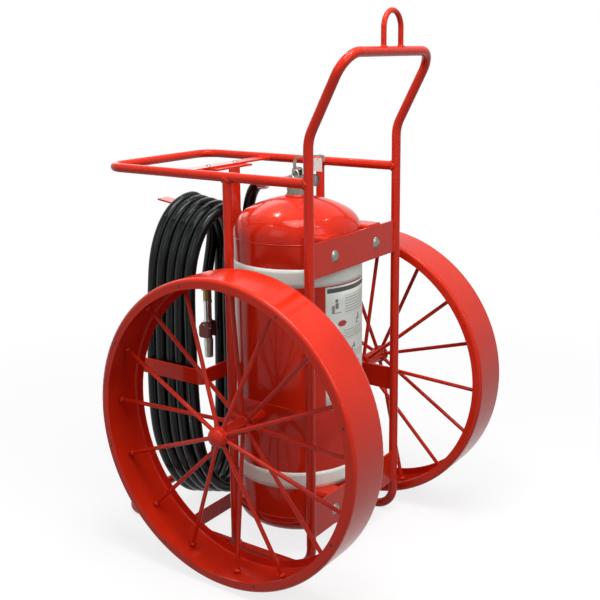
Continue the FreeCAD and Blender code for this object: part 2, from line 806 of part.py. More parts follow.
def build_pull_pin():
    pin_y, pin_z = pull_pin_place()
    outer = lever_width / 2 + rest_gap + ear_wall
    ring_x = -outer - 11.0
    pin = rod(pull_pin_radius, (ring_x - 3.5, pin_y, pin_z), (outer + 2.5, pin_y, pin_z))
    eye = rod(pull_ring_wire + 0.3, (ring_x, pin_y - 5, pin_z), (ring_x, pin_y + 5, pin_z))
    ring = along_x(hoop(pull_ring_radius, pull_ring_wire), ring_x, pin_y, pin_z - pull_ring_radius)
    save("pull_pin", pin.cut(eye), ring)


def build_gauge(stem_end):
    front = axle_y - gauge_back - 4.0
    back = front + gauge_depth
    case = lathe([
        (0, 0), (gauge_radius, 0, 2.0), (gauge_radius, gauge_depth), (gauge_radius - gauge_wall, gauge_depth),
        (gauge_radius - gauge_wall, gauge_wall), (0, gauge_wall),
    ])
    case = along_y(case, 0, back, port_z, -1)
    case = case.fuse(rod(gauge_stem_radius, (0, back, port_z), (0, stem_end, port_z))).removeSplitter()
    dial_y = front + 5.0
    hub = 2.2
    arbor = 0.9
    case = case.cut(rod(arbor + running_gap, (0, dial_y, port_z), (0, back + 1.0, port_z)))
    save("gauge_case", case)
    inside = gauge_radius - gauge_wall - fit_gap
    dial = sleeve(inside, arbor + running_gap, (0, dial_y, port_z), (0, dial_y + 0.8, port_z))
    save("gauge_dial", dial)
    pointer_y = dial_y - 0.4
    needle = rod(hub, (0, pointer_y - 0.6, port_z), (0, pointer_y, port_z))
    needle = needle.fuse(block((-0.6, 0.6), (pointer_y - 0.6, pointer_y), (port_z - 4.0, port_z + needle_length)))
    needle = needle.fuse(rod(arbor, (0, pointer_y - 0.6, port_z), (0, back, port_z)))
    save("gauge_needle", needle.removeSplitter())
    lens = rod(inside, (0, front, port_z), (0, front + 1.8, port_z))
    save("gauge_lens", lens)


def outlet_placed(shape):
    # the outlet slopes down from the valve and turns towards the hose's drop
    sloped = turned(shape, -outlet_drop, (0, tank_y, port_z), (1, 0, 0))
    return turned(sloped, -outlet_turn, (0, tank_y, 0))


def outlet_point(reach, below=0.0):
    # a place on the outlet's line, or below it, measured from the valve's axis
    turn = math.radians(outlet_turn)
    drop = math.radians(outlet_drop)
    level = reach * math.cos(drop)
    return (level * math.sin(turn), tank_y + level * math.cos(turn), port_z - reach * math.sin(drop) - below)


def pipe_end():
    return outlet_boss_reach - socket_depth() + outlet_pipe_length


def build_outlet():
    start = tank_y + outlet_boss_reach - socket_depth()
    end = tank_y + pipe_end()
    pipe_piece = sleeve(outlet_pipe_radius, outlet_bore + 1.0, (0, start, port_z), (0, end, port_z))
    save("outlet_pipe", outlet_placed(pipe_piece))
    socket = hose_radius + rest_gap
    coupling = along_y(lathe([
        (outlet_bore + 1.0, 0), (outlet_pipe_radius + 5.0, 0, 1.5), (outlet_pipe_radius + 5.0, 10.0),
        (socket + socket_wall, 10.0, 1.5), (socket + socket_wall, coupling_length, 1.0),
        (socket, coupling_length), (socket, 14.0), (outlet_bore + 1.0, 14.0),
    ]), 0, end, port_z)
    save("outlet_coupling", outlet_placed(coupling))


def hose_tube(points, label):
    # straight runs with the largest arcs that their lengths allow
    places = [Vector(*point) for point in points]
    radii = []
    for before, corner, after in zip(places, places[1:], places[2:]):
        turn = math.pi - (before - corner).getAngle(after - corner)
        run = min((before - corner).Length, (after - corner).Length)
        radii.append(0.45 * run / math.tan(turn / 2))
    print(label, "radii", [round(radius) for radius in radii])
    path = rounded_wire(points, radii)
    tube = pipe(path, hose_radius)
    print(label, "length", round(path.Length), "volume ratio",
          round(tube.Volume / (math.pi * hose_radius ** 2 * path.Length), 4))
    return tube


def coil_crown():
    # the innermost turn rests on both edges of the flat hook
    inner_half = coil_half - hose_radius
    inner_height = coil_crown_height - hose_radius
    sag = inner_height * (1 - math.sqrt(1 - (carrier_width / 2 / inner_half) ** 2))
    return hook_top + rest_gap + sag + hose_radius


def coil_outline(offset):
    half = coil_half + offset
    top_height = coil_crown_height + offset
    base_height = coil_base_height + offset
    top_centre = coil_crown() - coil_crown_height
    base_centre = coil_base_z + coil_base_height
    edges = []
    for centre, height, way in ((top_centre, top_height, 1), (base_centre, base_height, -1)):
        ellipse = Part.Ellipse(Vector(0, 0, centre), height, half)
        ellipse.Axis = Vector(0, -way, 0)
        ellipse.XAxis = Vector(0, 0, way)
        edges.append(ellipse.toShape(-math.pi / 2, math.pi / 2))
    for side in (-1, 1):
        edges.append(Part.LineSegment(Vector(side * half, 0, base_centre), Vector(side * half, 0, top_centre)).toShape())
    return Part.Wire(Part.__sortEdges__(edges))


def build_hose():
    # the lead leaves the outlet, bends down behind the strap and joins the coil;
    # the tail leaves the coil's front turn and ends in the nozzle
    start = pipe_end() + 14.0
    lead = [
        outlet_point(start),
        outlet_point(start + 28.0),
        outlet_point(start + 56.0, 15.0),
        outlet_point(start + 72.5, 40.0),
        (61, strap_y - 1.0, port_z - 127.0),
        (64, strap_y + 1.0, port_z - 190.0),
        (80, strap_y + 9.0, port_z - 330.0),
        (122, strap_y + 30.0, port_z - 490.0),
        (160, strap_y + 50.0, port_z - 620.0),
    ]
    tail = [
        (nozzle_side + 36.0, hose_y + 1, nozzle_top + 200.0),
        (nozzle_side + 20.0, hose_y + 2, nozzle_top + 138.0),
        (nozzle_side + 6.5, hose_y + 1, nozzle_top + 76.0),
        (nozzle_side, hose_y, nozzle_top + 36.0),
        (nozzle_side, hose_y, nozzle_top),
    ]
    lead_tube = hose_tube(lead, "lead")
    tail_tube = hose_tube(tail, "tail")
    save("hose_lead", lead_tube)
    save("hose_tail", tail_tube)
    ring = Part.Face([coil_outline(hose_radius), coil_outline(-hose_radius)])
    low = axle_y + coil_back - hose_radius
    length = coil_front - coil_back + 2 * hose_radius
    save("hose_coil", moved(ring.extrude(Vector(0, length, 0)), y=low))


def build_carrier():
    middle = axle_y + crossbar_ahead
    reach = frame_half - tube_radius + 3.0
    bar = block((-reach, reach), (middle - crossbar_width / 2, middle + crossbar_width / 2),
                (crossbar_low, crossbar_top))
    flange_low = crossbar_low - carrier_wall
    flange = block((-strap_flange_half, strap_flange_half), (strap_y, strap_y + strap_flange_reach),
                   (flange_low, crossbar_low))
    strap = block((-carrier_width / 2, carrier_width / 2), (strap_y, strap_y + carrier_wall),
                  (strap_foot_z, crossbar_low)).fuse(flange).removeSplitter()
    bolts = []
    nuts = []
    for side in (-1, 1):
        x = side * crossbar_bolt_half
        rail = rod(tube_radius, (side * frame_half, rear_y, rail_z), (side * frame_half, toe_y, rail_z))
        hole = rod(crossbar_bolt_radius + fit_gap, (x, middle, flange_low - 1), (x, middle, crossbar_top + 1))
        bar = bar.cut(rail).cut(hole)
        strap = strap.cut(hole)
        head = moved(dome_head(crossbar_head_radius, 4.5), x, middle, crossbar_top)
        shank = rod(crossbar_bolt_radius, (x, middle, flange_low - 12.0), (x, middle, crossbar_top))
        bolts.append(head.fuse(shank).removeSplitter())
        nut = hexagon(14.0, 8.0).cut(rod(crossbar_bolt_radius + fit_gap, (0, 0, -1), (0, 0, 9)))
        nuts.append(moved(nut, x, middle, flange_low - 8.0))
    save("hose_crossbar", bar)
    save("hose_strap", strap)
    save("crossbar_bolts", *bolts)
    save("crossbar_nuts", *nuts)
    build_hook()
    build_cradle()
    build_bottom_bar()


def build_hook():
    tip_y = axle_y + hook_reach
    knee_y = tip_y - hook_tip_length
    rise = hook_tip_length * math.tan(math.radians(hook_tip_tilt))
    start = strap_y + carrier_wall
    low = hook_top - carrier_wall
    # drawn in XZ as seen from the side, then turned so that its length lies on Y
    side_view = outline([
        (start, low), (knee_y, low, 60.0), (tip_y, low + rise), (tip_y, hook_top + rise),
        (knee_y, hook_top, 60.0), (start, hook_top),
    ])
    hook = turned(side_view.extrude(Vector(0, -carrier_width, 0)), 90)
    save("hose_hook", moved(hook, x=-carrier_width / 2))


def build_cradle():
    # flat bar bent to a U round the coil, on the strap's rear face
    inner = cradle_half - carrier_wall
    back = strap_y - carrier_wall
    tip = axle_y + cradle_reach
    plan = [
        (-cradle_half, tip), (-cradle_half, back, cradle_bend + carrier_wall),
        (cradle_half, back, cradle_bend + carrier_wall), (cradle_half, tip),
        (inner, tip), (inner, strap_y, cradle_bend), (-inner, strap_y, cradle_bend), (-inner, tip),
    ]
    # drawn in XZ, then laid flat in XY
    face = turned(outline(plan), -90, axis=(1, 0, 0))
    cradle = face.extrude(Vector(0, 0, carrier_width))
    save("hose_cradle", moved(cradle, z=cradle_low))


def build_bottom_bar():
    front = strap_y + carrier_wall
    reach = frame_half - tube_radius + 3.0
    bar = block((-reach, reach), (front, front + carrier_wall), (bottom_bar_low, bottom_bar_low + carrier_width))
    for side in (-1, 1):
        bar = bar.cut(rod(tube_radius, (side * frame_half, rear_y, tube_radius), (side * frame_half, toe_y, tube_radius)))
    save("hose_bottom_bar", bar)


def build_nozzle():
    def placed(shape):
        return moved(shape, nozzle_side, hose_y)

    shank_low = nozzle_top - shank_length
    body_low = shank_low - nozzle_body_length
    tip_low = body_low - tip_length
    ball_z = nozzle_top - ball_drop
    socket = hose_radius + rest_gap
    coupling = lathe([
        (tip_bore, shank_low), (shank_radius, shank_low, 1.0), (shank_radius, nozzle_top - 10.0),
        (socket + socket_wall, nozzle_top - 8.0, 1.0), (socket + socket_wall, nozzle_top + socket_length, 1.0),
        (socket, nozzle_top + socket_length), (socket, nozzle_top), (tip_bore, nozzle_top),
    ])
    save("nozzle_coupling", placed(coupling))

    swell = ball_seat_radius
    ball_seat = ball_radius + 0.5
    body = lathe([
        (tip_bore, body_low), (nozzle_body_radius, body_low), (nozzle_body_radius, ball_z - swell, 3.0),
        (swell, ball_z - 0.6 * swell, 4.0), (swell, ball_z + 0.6 * swell, 4.0),
        (nozzle_body_radius, ball_z + swell, 3.0), (nozzle_body_radius, shank_low - 12.0),
        (shank_radius + 1.0, shank_low - 10.0, 1.0), (shank_radius + 1.0, shank_low), (tip_bore, shank_low),
    ])
    cavity = rod(ball_radius + running_gap, (0, 0, ball_z - ball_seat), (0, 0, ball_z + ball_seat))
    trunnion_way = rod(trunnion_radius + running_gap, (-bail_half, 0, ball_z), (bail_half, 0, ball_z))
    save("nozzle_body", placed(body.cut(cavity).cut(trunnion_way)))

    # closed at rest: the ball's bore lies across the flow
    cheek_outer = bail_half
    ball = Part.makeSphere(ball_radius, Vector(0, 0, ball_z))
    ball = ball.common(rod(ball_radius, (0, 0, ball_z - 0.8 * ball_radius), (0, 0, ball_z + 0.8 * ball_radius)))
    ball = ball.cut(rod(ball_bore, (0, -2 * ball_radius, ball_z), (0, 2 * ball_radius, ball_z)))
    for side in (-1, 1):
        ball = ball.fuse(rod(trunnion_radius, (side * (ball_bore + 2.0), 0, ball_z), (side * cheek_outer, 0, ball_z)))
    save("shutoff_ball", placed(ball))
    build_bail(placed, ball_z)

    tip = lathe([
        (tip_bore, body_low), (tip_radius, body_low, 1.0), (tip_mouth_radius, tip_low, 2.0), (tip_bore - 2.0, tip_low),
    ])
    save("nozzle_tip", placed(tip))


def build_bail(placed, ball_z):
    # two cheeks on the ball's trunnions and a cross grip at their far end
    high = 9.0
    low = high - bail_length
    back = -19.0
    cheek = outline([(back, low, 6.0), (back, high, 8.0), (bail_depth - 14.0, high, 8.0),
                     (bail_depth, high - 18.0, 8.0), (bail_depth, low, 8.0)])
    cheek = turned(cheek.extrude(Vector(0, bail_wall, 0)), 90)
    left = moved(cheek, x=-bail_half + bail_wall, z=ball_z)
    right = moved(cheek, x=bail_half, z=ball_z)
    grip = block((-bail_half + 1.0, bail_half - 1.0), (bail_depth - 6.0, bail_depth - 1.5),
                 (ball_z + low + 9.0, ball_z + low + 21.0))
    bail = left.fuse(right).fuse(grip).removeSplitter()
    bail = bail.cut(rod(trunnion_radius + running_gap, (-bail_half - 1, 0, ball_z), (bail_half + 1, 0, ball_z)))
    save("shutoff_handle", placed(bail))


build_frame()
build_spindles()
build_wheel("left", -1, 0.0)
build_wheel("right", 1, right_wheel_turn)
build_mounting(build_tank())
build_valve()
build_outlet()
build_hose()
build_carrier()
build_nozzle()
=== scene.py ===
import math
import random

import bmesh
import bpy
from mathutils import Matrix, Vector


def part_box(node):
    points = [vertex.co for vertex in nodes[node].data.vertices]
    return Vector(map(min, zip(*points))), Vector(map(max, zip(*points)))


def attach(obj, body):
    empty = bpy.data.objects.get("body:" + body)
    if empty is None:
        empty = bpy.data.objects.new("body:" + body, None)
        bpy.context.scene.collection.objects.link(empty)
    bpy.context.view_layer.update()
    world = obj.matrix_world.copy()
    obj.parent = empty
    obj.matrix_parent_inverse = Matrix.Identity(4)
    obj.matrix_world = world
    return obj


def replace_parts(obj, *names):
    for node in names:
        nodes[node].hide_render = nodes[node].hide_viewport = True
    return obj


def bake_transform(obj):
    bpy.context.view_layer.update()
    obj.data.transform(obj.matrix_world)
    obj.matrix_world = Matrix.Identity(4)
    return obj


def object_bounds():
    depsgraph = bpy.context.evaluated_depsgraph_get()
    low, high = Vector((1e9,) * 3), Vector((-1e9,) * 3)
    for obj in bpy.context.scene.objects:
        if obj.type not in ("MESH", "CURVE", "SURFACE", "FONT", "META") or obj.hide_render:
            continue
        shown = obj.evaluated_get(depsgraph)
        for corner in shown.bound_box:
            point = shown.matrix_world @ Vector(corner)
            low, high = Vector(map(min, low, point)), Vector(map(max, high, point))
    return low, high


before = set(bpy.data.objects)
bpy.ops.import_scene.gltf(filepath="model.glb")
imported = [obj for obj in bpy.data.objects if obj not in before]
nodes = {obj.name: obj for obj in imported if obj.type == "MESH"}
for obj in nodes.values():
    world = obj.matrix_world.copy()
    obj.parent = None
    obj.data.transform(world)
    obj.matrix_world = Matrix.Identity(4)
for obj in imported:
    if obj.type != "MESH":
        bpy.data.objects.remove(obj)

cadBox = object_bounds()
random.seed(7)
print("stage: frame loaded,", len(nodes), "nodes")

# camera

view = {"place": (-2.4137, -1.74175, 1.5441), "turn": -55.784, "tilt": 11.662, "roll": -0.4245,
        "lens": 58.03, "sensor": 36.0, "shift": (-0.0212, -0.089)}


def addCamera():
    turn, tilt, roll = [math.radians(view[key]) for key in ("turn", "tilt", "roll")]
    back = Vector((math.sin(turn) * math.cos(tilt), -math.cos(turn) * math.cos(tilt), math.sin(tilt)))
    level = Vector((math.cos(turn), math.sin(turn), 0))
    across = level * math.cos(roll) + back.cross(level) * math.sin(roll)
    upright = back.cross(across)
    data = bpy.data.cameras.new("camera")
    data.lens = view["lens"]
    data.sensor_width = view["sensor"]
    data.shift_x, data.shift_y = view["shift"]
    camera = bpy.data.objects.new("camera", data)
    place = Matrix((across, upright, back)).transposed().to_4x4()
    place.translation = Vector(view["place"])
    camera.matrix_world = place
    bpy.context.scene.collection.objects.link(camera)
    bpy.context.scene.camera = camera


addCamera()

# shader tools


class Wire:  # one output of a material's node tree, ready for arithmetic
    def __init__(self, finish, socket):
        self.finish = finish
        self.socket = socket

    def maths(self, operation, first, second=0.0):
        return self.finish.node("ShaderNodeMath", {"operation": operation}, {0: first, 1: second})

    def __add__(self, other):
        return self.maths("ADD", self, other)

    def __radd__(self, other):
        return self.maths("ADD", other, self)

    def __sub__(self, other):
        return self.maths("SUBTRACT", self, other)

    def __rsub__(self, other):
        return self.maths("SUBTRACT", other, self)

    def __mul__(self, other):
        return self.maths("MULTIPLY", self, other)

    def __rmul__(self, other):
        return self.maths("MULTIPLY", other, self)

    def __truediv__(self, other):
        return self.maths("DIVIDE", self, other)

    def __pow__(self, other):
        return self.maths("POWER", self, other)

    def above(self, low, high):  # 0 below low, 1 above high, smooth between
        return self.finish.node("ShaderNodeMapRange", {"interpolation_type": "SMOOTHSTEP"},
                                {"Value": self, "From Min": low, "From Max": high})

    def within(self, low, high, soft):  # 1 between low and high
        return self.above(low - soft, low) * (1 - self.above(high, high + soft))

    def fold(self):
        return self.maths("FRACT", self)

    def size(self):
        return self.maths("ABSOLUTE", self)


class Finish:  # a material built on one Principled shader
    def __init__(self, name, **fixed):
        self.material = bpy.data.materials.new(name)
        self.material.use_nodes = True
        self.tree = self.material.node_tree
        self.shader = self.tree.nodes["Principled BSDF"]
        for key, value in fixed.items():
            self.shader.inputs[key.replace("_", " ")].default_value = value

    def node(self, kind, settings=None, values=None, output=0):
        made = self.tree.nodes.new(kind)
        for key, value in (settings or {}).items():
            if key == "stops":
                for index, (place, colour) in enumerate(value):
                    stops = made.color_ramp.elements
                    stop = stops[index] if index < 2 else stops.new(place)
                    stop.position = place
                    stop.color = colour
            else:
                setattr(made, key, value)
        for key, value in (values or {}).items():
            if isinstance(value, Wire):
                self.tree.links.new(value.socket, made.inputs[key])
            else:
                made.inputs[key].default_value = value
        return Wire(self, made.outputs[output])

    def feed(self, **links):
        for key, value in links.items():
            self.tree.links.new(value.socket, self.shader.inputs[key.replace("_", " ")])

    def place(self):
        return self.node("ShaderNodeTexCoord", output=3)

    def axes(self):
        split = self.node("ShaderNodeSeparateXYZ", {}, {0: self.place()})
        return [Wire(self, socket) for socket in split.socket.node.outputs]

    def chart(self):
        split = self.node("ShaderNodeSeparateXYZ", {}, {0: self.node("ShaderNodeTexCoord", output=2)})
        return [Wire(self, socket) for socket in split.socket.node.outputs][:2]

    def noise(self, scale, detail=3.0, rough=0.5, stretch=None):
        place = self.place()
        if stretch:
            place = self.node("ShaderNodeVectorMath", {"operation": "MULTIPLY"}, {0: place, 1: stretch})
        return self.node("ShaderNodeTexNoise", {}, {"Vector": place, "Scale": scale, "Detail": detail,
                                                    "Roughness": rough})

    def cells(self, scale):
        return self.node("ShaderNodeTexVoronoi", {}, {"Vector": self.place(), "Scale": scale})

    def blend(self, first, second, factor, way="MIX"):
        return self.node("ShaderNodeMix", {"data_type": "RGBA", "blend_type": way},
                         {0: factor, 6: first, 7: second}, output=2)

    def bump(self, height, distance, strength=1.0, under=None):
        values = {"Strength": strength, "Distance": distance, "Height": height}
        if under is not None:
            values["Normal"] = under
        return self.node("ShaderNodeBump", {}, values)


def tone(red, green, blue):
    return (red, green, blue, 1.0)


# finishes

enamel = {"main": tone(0.62, 0.022, 0.006), "deep": tone(0.46, 0.012, 0.006),
          "light": tone(0.74, 0.046, 0.010), "dust": tone(0.42, 0.12, 0.08), "rough": 0.15, "peel": 260.0}


def makeEnamel(name, tint=1.0, rough=enamel["rough"], runs=1.0):
    finish = Finish(name, IOR=1.5, Coat_Roughness=0.05)
    finish.shader.inputs["Specular IOR Level"].default_value = 0.1
    cloud = finish.noise(5.0, 4.0)
    speck = finish.noise(900.0, 2.0).above(0.68, 0.76)
    main = tuple(channel * tint for channel in enamel["main"][:3]) + (1.0,)
    colour = finish.blend(main, enamel["deep"], cloud.above(0.52, 0.78) * 0.55)
    colour = finish.blend(colour, enamel["light"], finish.noise(11.0, 3.0).above(0.55, 0.8) * 0.4)
    dust = finish.noise(38.0, 6.0, 0.7).above(0.58, 0.82) * 0.10
    colour = finish.blend(colour, enamel["dust"], dust + speck * 0.12)
    scuffs = finish.noise(60.0, 5.0, 0.65, stretch=(1.0, 1.0, 0.15)).above(0.6, 0.8)
    peel = finish.noise(enamel["peel"], 2.0)
    sags = finish.noise(14.0, 2.0, stretch=(1.0, 1.0, 0.35))
    finish.feed(Base_Color=colour, Roughness=rough + cloud * 0.08 + scuffs * 0.14,
                Coat_Weight=0.14 - scuffs * 0.1,
                Normal=finish.bump(peel * 0.35 + sags * runs, 0.0011, 0.45))
    return finish.material


plating = {"zinc": tone(0.62, 0.62, 0.57), "stain": tone(0.36, 0.31, 0.24)}


def makePlated(name, colour, stain, rough=0.3, brushed=0.0, metallic=1.0):
    finish = Finish(name, Metallic=metallic)
    patch = finish.noise(55.0, 5.0, 0.6)
    fine = finish.noise(900.0, 3.0)
    base = finish.blend(colour, stain, patch.above(0.5, 0.78) * 0.6)
    base = finish.blend(base, tone(0.02, 0.02, 0.02), finish.noise(260.0, 4.0, 0.7).above(0.64, 0.8) * 0.35)
    height = fine * 0.4 + patch * 0.6
    if brushed:
        height = height + finish.noise(120.0, 2.0, stretch=(1.0, 1.0, 22.0)) * brushed
    finish.feed(Base_Color=base, Roughness=rough + patch * 0.18,
                Normal=finish.bump(height, 0.0004, 0.35))
    return finish.material


rubber = {"main": tone(0.004, 0.0065, 0.006), "chalk": tone(0.02, 0.03, 0.028), "wrap": 210.0}


def makeRubber(name):
    finish = Finish(name, IOR=1.5, Coat_Roughness=0.12)
    finish.shader.inputs["Specular IOR Level"].default_value = 0.12
    bloom = finish.noise(24.0, 5.0, 0.65)
    scuffs = finish.noise(180.0, 5.0, 0.7).above(0.6, 0.78)
    colour = finish.blend(rubber["main"], rubber["chalk"], bloom.above(0.5, 0.85) * 0.35 + scuffs * 0.15)
    wrap = finish.noise(rubber["wrap"], 1.0, stretch=(1.0, 1.0, 5.0))
    finish.feed(Base_Color=colour, Roughness=0.20 + bloom * 0.10 + scuffs * 0.12,
                Coat_Weight=0.16 - scuffs * 0.12,
                Normal=finish.bump(wrap * 0.3 + finish.noise(70.0, 3.0) * 0.7, 0.0006, 0.28))
    return finish.material


def makeMoulded(name, colour, faded, rough=0.4, metallic=0.0):
    finish = Finish(name, Metallic=metallic)
    patch = finish.noise(90.0, 4.0, 0.6)
    grain = finish.noise(1400.0, 2.0)
    base = finish.blend(colour, faded, patch.above(0.45, 0.8) * 0.5)
    finish.feed(Base_Color=base, Roughness=rough + patch * 0.15,
                Normal=finish.bump(grain * 0.5 + patch, 0.0002, 0.4))
    return finish.material


tape = {"main": tone(0.86, 0.92, 0.85), "shade": tone(0.72, 0.79, 0.72), "cell": 700.0}


def makeTape(name):
    finish = Finish(name)
    finish.shader.inputs["Specular IOR Level"].default_value = 0.45
    cell = finish.cells(tape["cell"])
    smear = finish.noise(18.0, 5.0, 0.6, stretch=(1.0, 1.0, 3.0))
    dull = smear.above(0.45, 0.8) * 0.6 + cell.above(0.3, 0.7) * 0.12
    colour = finish.blend(tape["main"], tape["shade"], dull)
    colour = finish.blend(colour, tone(0.5, 0.3, 0.26), finish.noise(70.0, 6.0, 0.7).above(0.66, 0.84) * 0.18)
    finish.feed(Base_Color=colour, Roughness=0.32 + smear * 0.15,
                Normal=finish.bump(cell + smear, 0.0003, 0.3))
    return finish.material


def makeGlass(name):
    finish = Finish(name, Roughness=0.03, IOR=1.46)
    smear = finish.noise(120.0, 3.0)
    finish.shader.inputs["Transmission Weight"].default_value = 1.0
    finish.feed(Base_Color=finish.blend(tone(0.97, 0.98, 0.98), tone(0.9, 0.92, 0.92), smear.above(0.5, 0.8)))
    return finish.material


def makeDial(name):
    dial = {"ticks": (0.0115, 0.0132), "arc": (0.0088, 0.0106), "arcHalf": 0.7, "perTurn": 24}
    low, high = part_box("gauge_dial")
    middle = (low + high) / 2
    finish = Finish(name, Roughness=0.45)
    x, y, z = finish.axes()
    across = x - middle.x
    rise = z - middle.z
    reach = (across * across + rise * rise) ** 0.5
    turn = finish.node("ShaderNodeMath", {"operation": "ARCTAN2"}, {0: across, 1: rise})
    ticks = ((turn * (dial["perTurn"] / 2 / math.pi)).fold() - 0.5).size().above(0.42, 0.45)
    ring = reach.within(*dial["ticks"], 0.0002)
    arc = reach.within(*dial["arc"], 0.0002) * turn.size().within(0.0, dial["arcHalf"], 0.02)
    colour = finish.blend(tone(0.02, 0.022, 0.022), tone(0.03, 0.35, 0.08), arc)
    colour = finish.blend(colour, tone(0.80, 0.80, 0.76), ring * ticks)
    finish.feed(Base_Color=colour, Normal=finish.bump(finish.noise(800.0), 0.0001, 0.3))
    return finish.material


finishes = {
    "enamel": makeEnamel("redEnamel"),
    "wheelEnamel": makeEnamel("wheelEnamel", 1.06, 0.17, 0.7),
    "tankEnamel": makeEnamel("tankEnamel", 0.96, 0.12, 0.35),
    "zinc": makePlated("zincPlate", plating["zinc"], plating["stain"], 0.32),
    "steel": makePlated("dullSteel", tone(0.24, 0.24, 0.22), tone(0.12, 0.11, 0.10), 0.24, 0.3),
    "chrome": makePlated("wornChrome", tone(0.56, 0.55, 0.53), tone(0.32, 0.27, 0.24), 0.16),
    "lever": makePlated("leverMetal", tone(0.34, 0.32, 0.27), tone(0.13, 0.12, 0.09), 0.26),
    "bronze": makePlated("sinteredBronze", tone(0.42, 0.29, 0.14), tone(0.2, 0.13, 0.08), 0.45),
    "valve": makePlated("valveMetal", tone(0.24, 0.25, 0.21), tone(0.11, 0.14, 0.11), 0.34),
    "shank": makePlated("agedBrass", tone(0.34, 0.22, 0.10), tone(0.16, 0.11, 0.06), 0.42),
    "spring": makePlated("springSteel", tone(0.45, 0.45, 0.45), tone(0.25, 0.22, 0.2), 0.35),
    "barrel": makePlated("brushedBarrel", tone(0.52, 0.54, 0.49), tone(0.27, 0.28, 0.24), 0.36, 0.8),
    "rubber": makeRubber("hoseRubber"),
    "darkCase": makeMoulded("gaugeCase", tone(0.018, 0.022, 0.02), tone(0.05, 0.05, 0.045), 0.3),
    "dial": makeDial("gaugeDial"),
    "needle": makeMoulded("needlePale", tone(0.74, 0.72, 0.62), tone(0.6, 0.58, 0.5), 0.5),
    "glass": makeGlass("gaugeGlass"),
    "redPlastic": makeMoulded("redPlastic", tone(0.22, 0.008, 0.009), tone(0.15, 0.006, 0.007), 0.35),
    "tape": makeTape("bandTape"),
    "card": makeMoulded("tagCard", tone(0.86, 0.88, 0.84), tone(0.7, 0.74, 0.68), 0.5),
    "tie": makeMoulded("clearTie", tone(0.6, 0.62, 0.6), tone(0.5, 0.5, 0.48), 0.35),
    "powder": makeMoulded("dryPowder", tone(0.72, 0.66, 0.38), tone(0.6, 0.55, 0.32), 0.9),
    # painted shade: near-black for the shadowed insides of the rim holes, laid on as flat discs
    "dark": makeMoulded("holeShadePainted", tone(0.015, 0.006, 0.006), tone(0.03, 0.01, 0.01), 0.6),
}

nodeFinish = {
    "wheelEnamel": "wheel_rim_left wheel_rim_right wheel_spokes_left wheel_spokes_right wheel_hub_left"
                   " wheel_hub_right hub_cap_left hub_cap_right",
    "tankEnamel": "cylinder_shell upper_lugs lower_lugs",
    "zinc": "axle_washers axle_cotters",
    "steel": "mounting_bolts mounting_nuts crossbar_bolts crossbar_nuts",
    "bronze": "wheel_bushes_left wheel_bushes_right",
    "lever": "valve_lever lever_pivot_pin",
    "chrome": "nozzle_body pull_pin outlet_coupling",
    "valve": "valve_body neck_collar outlet_pipe",
    "shank": "nozzle_coupling valve_stem shutoff_ball",
    "spring": "valve_spring",
    "barrel": "nozzle_tip dip_tube",
    "rubber": "hose_lead hose_tail hose_coil",
    "darkCase": "gauge_case",
    "dial": "gauge_dial",
    "needle": "gauge_needle",
    "glass": "gauge_lens",
    "redPlastic": "shutoff_handle",
    "card": "inspection_tag",
    "tie": "tag_loop",
    "powder": "agent_charge",
}


def dressNodes():
    chosen = {node: key for key, group in nodeFinish.items() for node in group.split()}
    for name, node in nodes.items():
        node.data.materials.clear()
        node.data.materials.append(finishes[chosen.get(name, "enamel")])


dressNodes()
print("stage: finishes made,", len(finishes))

# mesh tools


def addMesh(name, build, finish, body, smooth=True):
    form = bmesh.new()
    build(form)
    bmesh.ops.recalc_face_normals(form, faces=form.faces)
    data = bpy.data.meshes.new(name)
    form.to_mesh(data)
    form.free()
    if smooth:
        data.polygons.foreach_set("use_smooth", [True] * len(data.polygons))
    data.materials.append(finishes[finish])
    piece = bpy.data.objects.new(name, data)
    bpy.context.scene.collection.objects.link(piece)
    if body:
        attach(piece, body)
    return piece


def sweep(form, path, radiusAt, sides=10, closed=False):
    count = len(path)
    rings = []
    side = None
    for index, point in enumerate(path):
        ahead = path[(index + 1) % count] if closed or index < count - 1 else point
        behind = path[index - 1] if closed or index > 0 else point
        heading = (ahead - behind).normalized()
        if side is None:
            side = heading.orthogonal().normalized()
        side = (side - heading * side.dot(heading)).normalized()
        other = heading.cross(side)
        radius = radiusAt(index / count)
        rings.append([form.verts.new(point + (side * math.cos(a) + other * math.sin(a)) * radius)
                      for a in (2 * math.pi * step / sides for step in range(sides))])
    pairs = list(zip(rings, rings[1:])) + ([(rings[-1], rings[0])] if closed else [])
    for first, second in pairs:
        shift = 0
        if closed and first is rings[-1]:  # meet the first ring at its nearest corner
            shift = min(range(sides), key=lambda s: (first[0].co - second[s].co).length)
        for step in range(sides):
            form.faces.new((first[step], first[(step + 1) % sides],
                            second[(step + 1 + shift) % sides], second[(step + shift) % sides]))
    if not closed:
        form.faces.new(rings[0])
        form.faces.new(list(reversed(rings[-1])))


def ringPath(centre, across, other, radius, count, start=0.0, end=2 * math.pi):
    return [centre + across * (radius * math.cos(a)) + other * (radius * math.sin(a))
            for a in (start + (end - start) * step / count for step in range(count))]


# hose: one spline from the outlet, round the coil, to the nozzle

